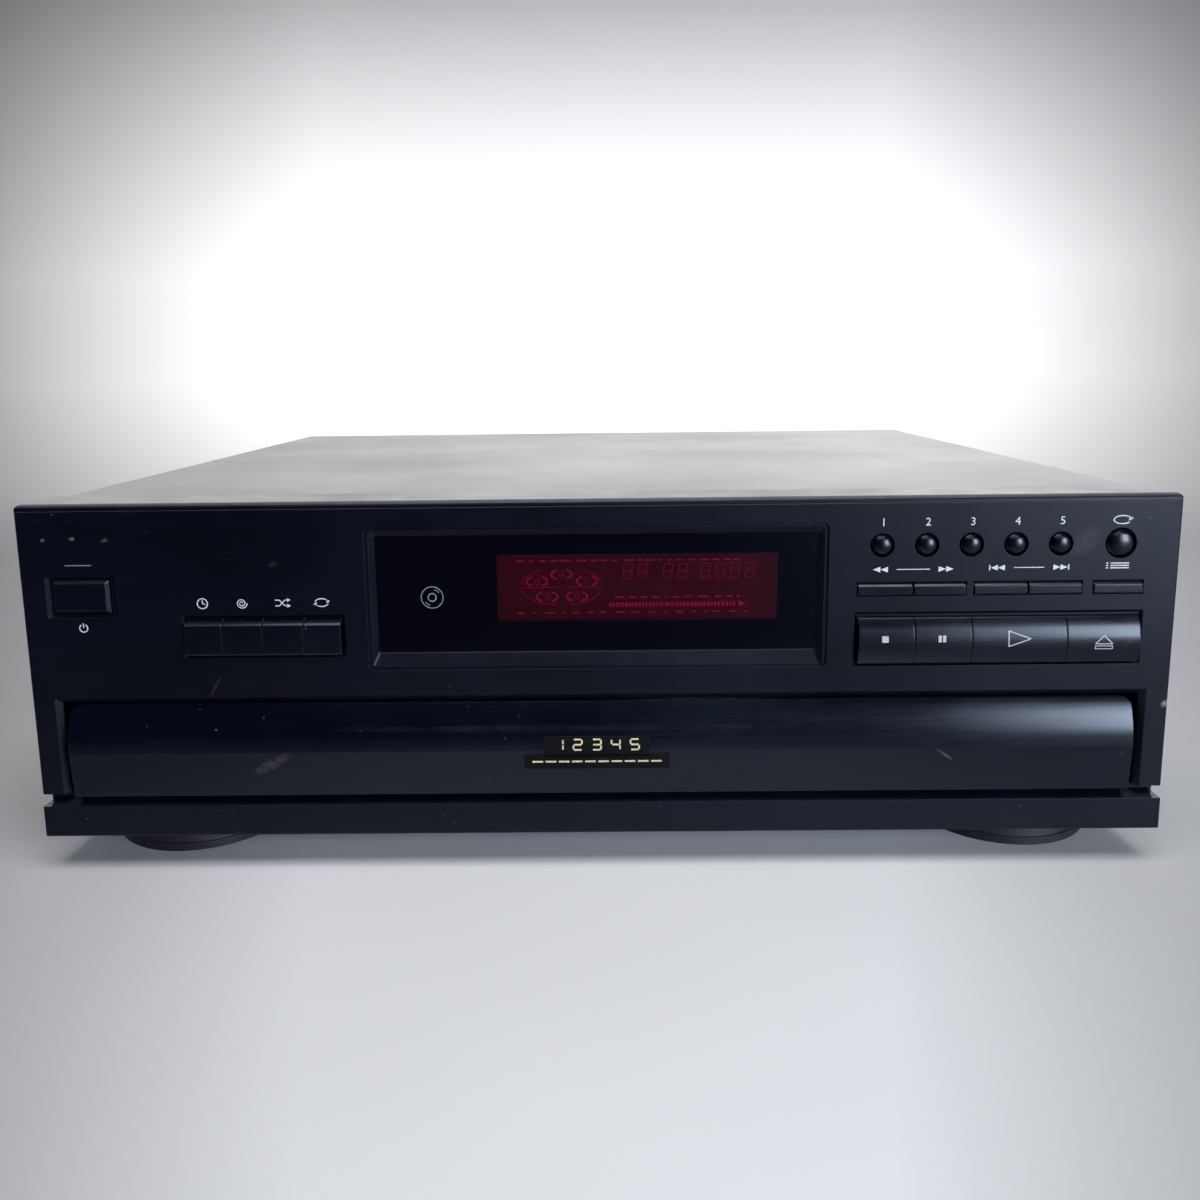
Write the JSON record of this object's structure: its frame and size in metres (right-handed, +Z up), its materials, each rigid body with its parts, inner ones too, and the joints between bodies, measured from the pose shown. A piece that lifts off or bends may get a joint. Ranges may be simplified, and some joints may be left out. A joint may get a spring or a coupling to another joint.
{
  "type": "multi disc cd changer",
  "caption": "Hi-fi disc changer with a front drawer, turning disc carousel, lifting disc drive, display window and push keys.",
  "frame": {"origin": "on the surface it stands on, below the middle of the whole box", "axes": "+X to the right seen from the front, +Y to the back, +Z up"},
  "size_m": [0.43, 0.383, 0.144],
  "materials": {
    "panel_plastic": "fine horizontal hairline, slightly glossy",
    "drawer_plastic": "smooth moulded, slightly glossy",
    "key_plastic": "smooth moulded keys",
    "window_acrylic": "smoked clear acrylic",
    "display_glass": "dark red filter over the display tube",
    "cover_paint": "satin powder coat",
    "zinc_steel": "zinc plated sheet",
    "screw_steel": "blackened steel",
    "foot_plastic": "moulded, fine texture",
    "tray_plastic": "moulded ABS, fine texture",
    "carousel_plastic": "moulded ABS, fine texture",
    "gear_plastic": "natural acetal",
    "motor_steel": "plated can",
    "belt_rubber": "matt rubber",
    "board_laminate": "phenolic circuit board",
    "transformer_iron": "varnished laminations",
    "jack_plastic": "moulded block",
    "pickup_plastic": "moulded sled",
    "rod_steel": "ground rod"
  },
  "bodies": {
    "case": {"front_panel": "panel_plastic", "display_window": "window_acrylic", "display_tube": "display_glass", "display_circuit_board": "board_laminate", "key_circuit_boards": "board_laminate", "bottom_chassis": "zinc_steel", "rear_panel": "zinc_steel", "top_cover": "cover_paint", "case_screws": "screw_steel", "feet": "foot_plastic", "slide_rail_left": "tray_plastic", "slide_rail_right": "tray_plastic", "loading_bracket": "zinc_steel", "loading_motor": "motor_steel", "drive_belt": "belt_rubber", "mechanism_base": "zinc_steel", "clamp_bridge": "zinc_steel", "main_circuit_board": "board_laminate", "power_transformer": "transformer_iron", "power_board": "board_laminate", "audio_jacks": "jack_plastic", "mains_inlet": "jack_plastic"},
    "drawer": {"drawer_front": "drawer_plastic", "drawer_tray": "tray_plastic", "carousel_hub_cap": "tray_plastic", "carousel_motor": "motor_steel"},
    "carousel": {"carousel": "carousel_plastic", "carousel_ring_gear": "gear_plastic"},
    "carousel_drive_gear": {"carousel_drive_gear": "gear_plastic"},
    "carousel_motor_gear": {"carousel_motor_gear": "gear_plastic"},
    "motor_pulley": {"motor_pulley": "gear_plastic"},
    "loading_gear": {"loading_gear": "gear_plastic"},
    "drawer_pinion": {"drawer_pinion": "gear_plastic"},
    "lift_deck": {"lift_deck": "zinc_steel", "guide_rods": "rod_steel", "spindle_motor": "motor_steel"},
    "disc_turntable": {"disc_turntable": "pickup_plastic"},
    "optical_pickup": {"optical_pickup": "pickup_plastic"},
    "cam_slider": {"cam_slider": "zinc_steel"},
    "disc_clamper": {"disc_clamper": "pickup_plastic"},
    "power_key": {"power_key": "key_plastic"},
    "mode_key_1": {"mode_key_1": "key_plastic"},
    "mode_key_2": {"mode_key_2": "key_plastic"},
    "mode_key_3": {"mode_key_3": "key_plastic"},
    "mode_key_4": {"mode_key_4": "key_plastic"},
    "disc_key_1": {"disc_key_1": "key_plastic"},
    "disc_key_2": {"disc_key_2": "key_plastic"},
    "disc_key_3": {"disc_key_3": "key_plastic"},
    "disc_key_4": {"disc_key_4": "key_plastic"},
    "disc_key_5": {"disc_key_5": "key_plastic"},
    "disc_skip_key": {"disc_skip_key": "key_plastic"},
    "search_back_key": {"search_back_key": "key_plastic"},
    "search_forward_key": {"search_forward_key": "key_plastic"},
    "skip_back_key": {"skip_back_key": "key_plastic"},
    "skip_forward_key": {"skip_forward_key": "key_plastic"},
    "program_key": {"program_key": "key_plastic"},
    "stop_key": {"stop_key": "key_plastic"},
    "pause_key": {"pause_key": "key_plastic"},
    "play_key": {"play_key": "key_plastic"},
    "open_close_key": {"open_close_key": "key_plastic"}
  },
  "joints": [
    {"name": "drawer_slide", "type": "slide", "parent": "case", "child": "drawer", "axis": [0, -1, 0], "range_m": [0, 0.235]},
    {"name": "carousel_spin", "type": "hinge", "parent": "drawer", "child": "carousel", "pos_m": [0, 0, 0.058], "axis": [0, 0, 1], "continuous": true},
    {"name": "carousel_drive_spin", "type": "hinge", "parent": "drawer", "child": "carousel_drive_gear", "pos_m": [0.03606, -0.03606, 0.044], "axis": [0, 0, 1], "continuous": true},
    {"name": "carousel_motor_spin", "type": "hinge", "parent": "drawer", "child": "carousel_motor_gear", "pos_m": [0.05515, -0.05515, 0.039], "axis": [0, 0, 1], "continuous": true},
    {"name": "pinion_spin", "type": "hinge", "parent": "case", "child": "drawer_pinion", "pos_m": [-0.161, -0.15, 0.026], "axis": [0, 0, 1], "range_deg": [0, 1349.1]},
    {"name": "loading_gear_spin", "type": "hinge", "parent": "case", "child": "loading_gear", "pos_m": [-0.137, -0.15, 0.02], "axis": [0, 0, 1], "range_deg": [-4047.4, 0]},
    {"name": "motor_pulley_spin", "type": "hinge", "parent": "case", "child": "motor_pulley", "pos_m": [-0.092, -0.15, 0.018], "axis": [0, 0, 1], "range_deg": [-16189.7, 0]},
    {"name": "deck_lift", "type": "slide", "parent": "case", "child": "lift_deck", "axis": [0, 0, 1], "range_m": [0, 0.0125]},
    {"name": "cam_slide", "type": "slide", "parent": "case", "child": "cam_slider", "axis": [-1, 0, 0], "range_m": [0, 0.0251]},
    {"name": "turntable_spin", "type": "hinge", "parent": "lift_deck", "child": "disc_turntable", "pos_m": [0, 0.104, 0.046], "axis": [0, 0, 1], "continuous": true},
    {"name": "pickup_slide", "type": "slide", "parent": "lift_deck", "child": "optical_pickup", "axis": [0, 1, 0], "range_m": [0, 0.034]},
    {"name": "clamper_lift", "type": "slide", "parent": "case", "child": "disc_clamper", "axis": [0, 0, 1], "range_m": [0, 0.0012]},
    {"name": "power_key_press", "type": "slide", "parent": "case", "child": "power_key", "axis": [0, 1, 0], "range_m": [0, 0.0012], "stiffness_N_per_m": 400, "springref_m": -0.0008},
    {"name": "mode_key_1_press", "type": "slide", "parent": "case", "child": "mode_key_1", "axis": [0, 1, 0], "range_m": [0, 0.0012], "stiffness_N_per_m": 400, "springref_m": -0.0008},
    {"name": "mode_key_2_press", "type": "slide", "parent": "case", "child": "mode_key_2", "axis": [0, 1, 0], "range_m": [0, 0.0012], "stiffness_N_per_m": 400, "springref_m": -0.0008},
    {"name": "mode_key_3_press", "type": "slide", "parent": "case", "child": "mode_key_3", "axis": [0, 1, 0], "range_m": [0, 0.0012], "stiffness_N_per_m": 400, "springref_m": -0.0008},
    {"name": "mode_key_4_press", "type": "slide", "parent": "case", "child": "mode_key_4", "axis": [0, 1, 0], "range_m": [0, 0.0012], "stiffness_N_per_m": 400, "springref_m": -0.0008},
    {"name": "disc_key_1_press", "type": "slide", "parent": "case", "child": "disc_key_1", "axis": [0, 1, 0], "range_m": [0, 0.0012], "stiffness_N_per_m": 400, "springref_m": -0.0008},
    {"name": "disc_key_2_press", "type": "slide", "parent": "case", "child": "disc_key_2", "axis": [0, 1, 0], "range_m": [0, 0.0012], "stiffness_N_per_m": 400, "springref_m": -0.0008},
    {"name": "disc_key_3_press", "type": "slide", "parent": "case", "child": "disc_key_3", "axis": [0, 1, 0], "range_m": [0, 0.0012], "stiffness_N_per_m": 400, "springref_m": -0.0008},
    {"name": "disc_key_4_press", "type": "slide", "parent": "case", "child": "disc_key_4", "axis": [0, 1, 0], "range_m": [0, 0.0012], "stiffness_N_per_m": 400, "springref_m": -0.0008},
    {"name": "disc_key_5_press", "type": "slide", "parent": "case", "child": "disc_key_5", "axis": [0, 1, 0], "range_m": [0, 0.0012], "stiffness_N_per_m": 400, "springref_m": -0.0008},
    {"name": "disc_skip_key_press", "type": "slide", "parent": "case", "child": "disc_skip_key", "axis": [0, 1, 0], "range_m": [0, 0.0012], "stiffness_N_per_m": 400, "springref_m": -0.0008},
    {"name": "search_back_key_press", "type": "slide", "parent": "case", "child": "search_back_key", "axis": [0, 1, 0], "range_m": [0, 0.0012], "stiffness_N_per_m": 400, "springref_m": -0.0008},
    {"name": "search_forward_key_press", "type": "slide", "parent": "case", "child": "search_forward_key", "axis": [0, 1, 0], "range_m": [0, 0.0012], "stiffness_N_per_m": 400, "springref_m": -0.0008},
    {"name": "skip_back_key_press", "type": "slide", "parent": "case", "child": "skip_back_key", "axis": [0, 1, 0], "range_m": [0, 0.0012], "stiffness_N_per_m": 400, "springref_m": -0.0008},
    {"name": "skip_forward_key_press", "type": "slide", "parent": "case", "child": "skip_forward_key", "axis": [0, 1, 0], "range_m": [0, 0.0012], "stiffness_N_per_m": 400, "springref_m": -0.0008},
    {"name": "program_key_press", "type": "slide", "parent": "case", "child": "program_key", "axis": [0, 1, 0], "range_m": [0, 0.0012], "stiffness_N_per_m": 400, "springref_m": -0.0008},
    {"name": "stop_key_press", "type": "slide", "parent": "case", "child": "stop_key", "axis": [0, 1, 0], "range_m": [0, 0.0012], "stiffness_N_per_m": 400, "springref_m": -0.0008},
    {"name": "pause_key_press", "type": "slide", "parent": "case", "child": "pause_key", "axis": [0, 1, 0], "range_m": [0, 0.0012], "stiffness_N_per_m": 400, "springref_m": -0.0008},
    {"name": "play_key_press", "type": "slide", "parent": "case", "child": "play_key", "axis": [0, 1, 0], "range_m": [0, 0.0012], "stiffness_N_per_m": 400, "springref_m": -0.0008},
    {"name": "open_close_key_press", "type": "slide", "parent": "case", "child": "open_close_key", "axis": [0, 1, 0], "range_m": [0, 0.0012], "stiffness_N_per_m": 400, "springref_m": -0.0008}
  ],
  "couplings": [
    {"joint": "carousel_drive_spin", "follows": "carousel_spin", "ratio": -3.8571},
    {"joint": "carousel_motor_spin", "follows": "carousel_spin", "ratio": 10.029},
    {"joint": "pinion_spin", "follows": "drawer_slide", "rad_per_m": 100},
    {"joint": "loading_gear_spin", "follows": "drawer_slide", "rad_per_m": -300},
    {"joint": "motor_pulley_spin", "follows": "drawer_slide", "rad_per_m": -1200},
    {"joint": "cam_slide", "follows": "deck_lift", "ratio": 2}
  ]
}
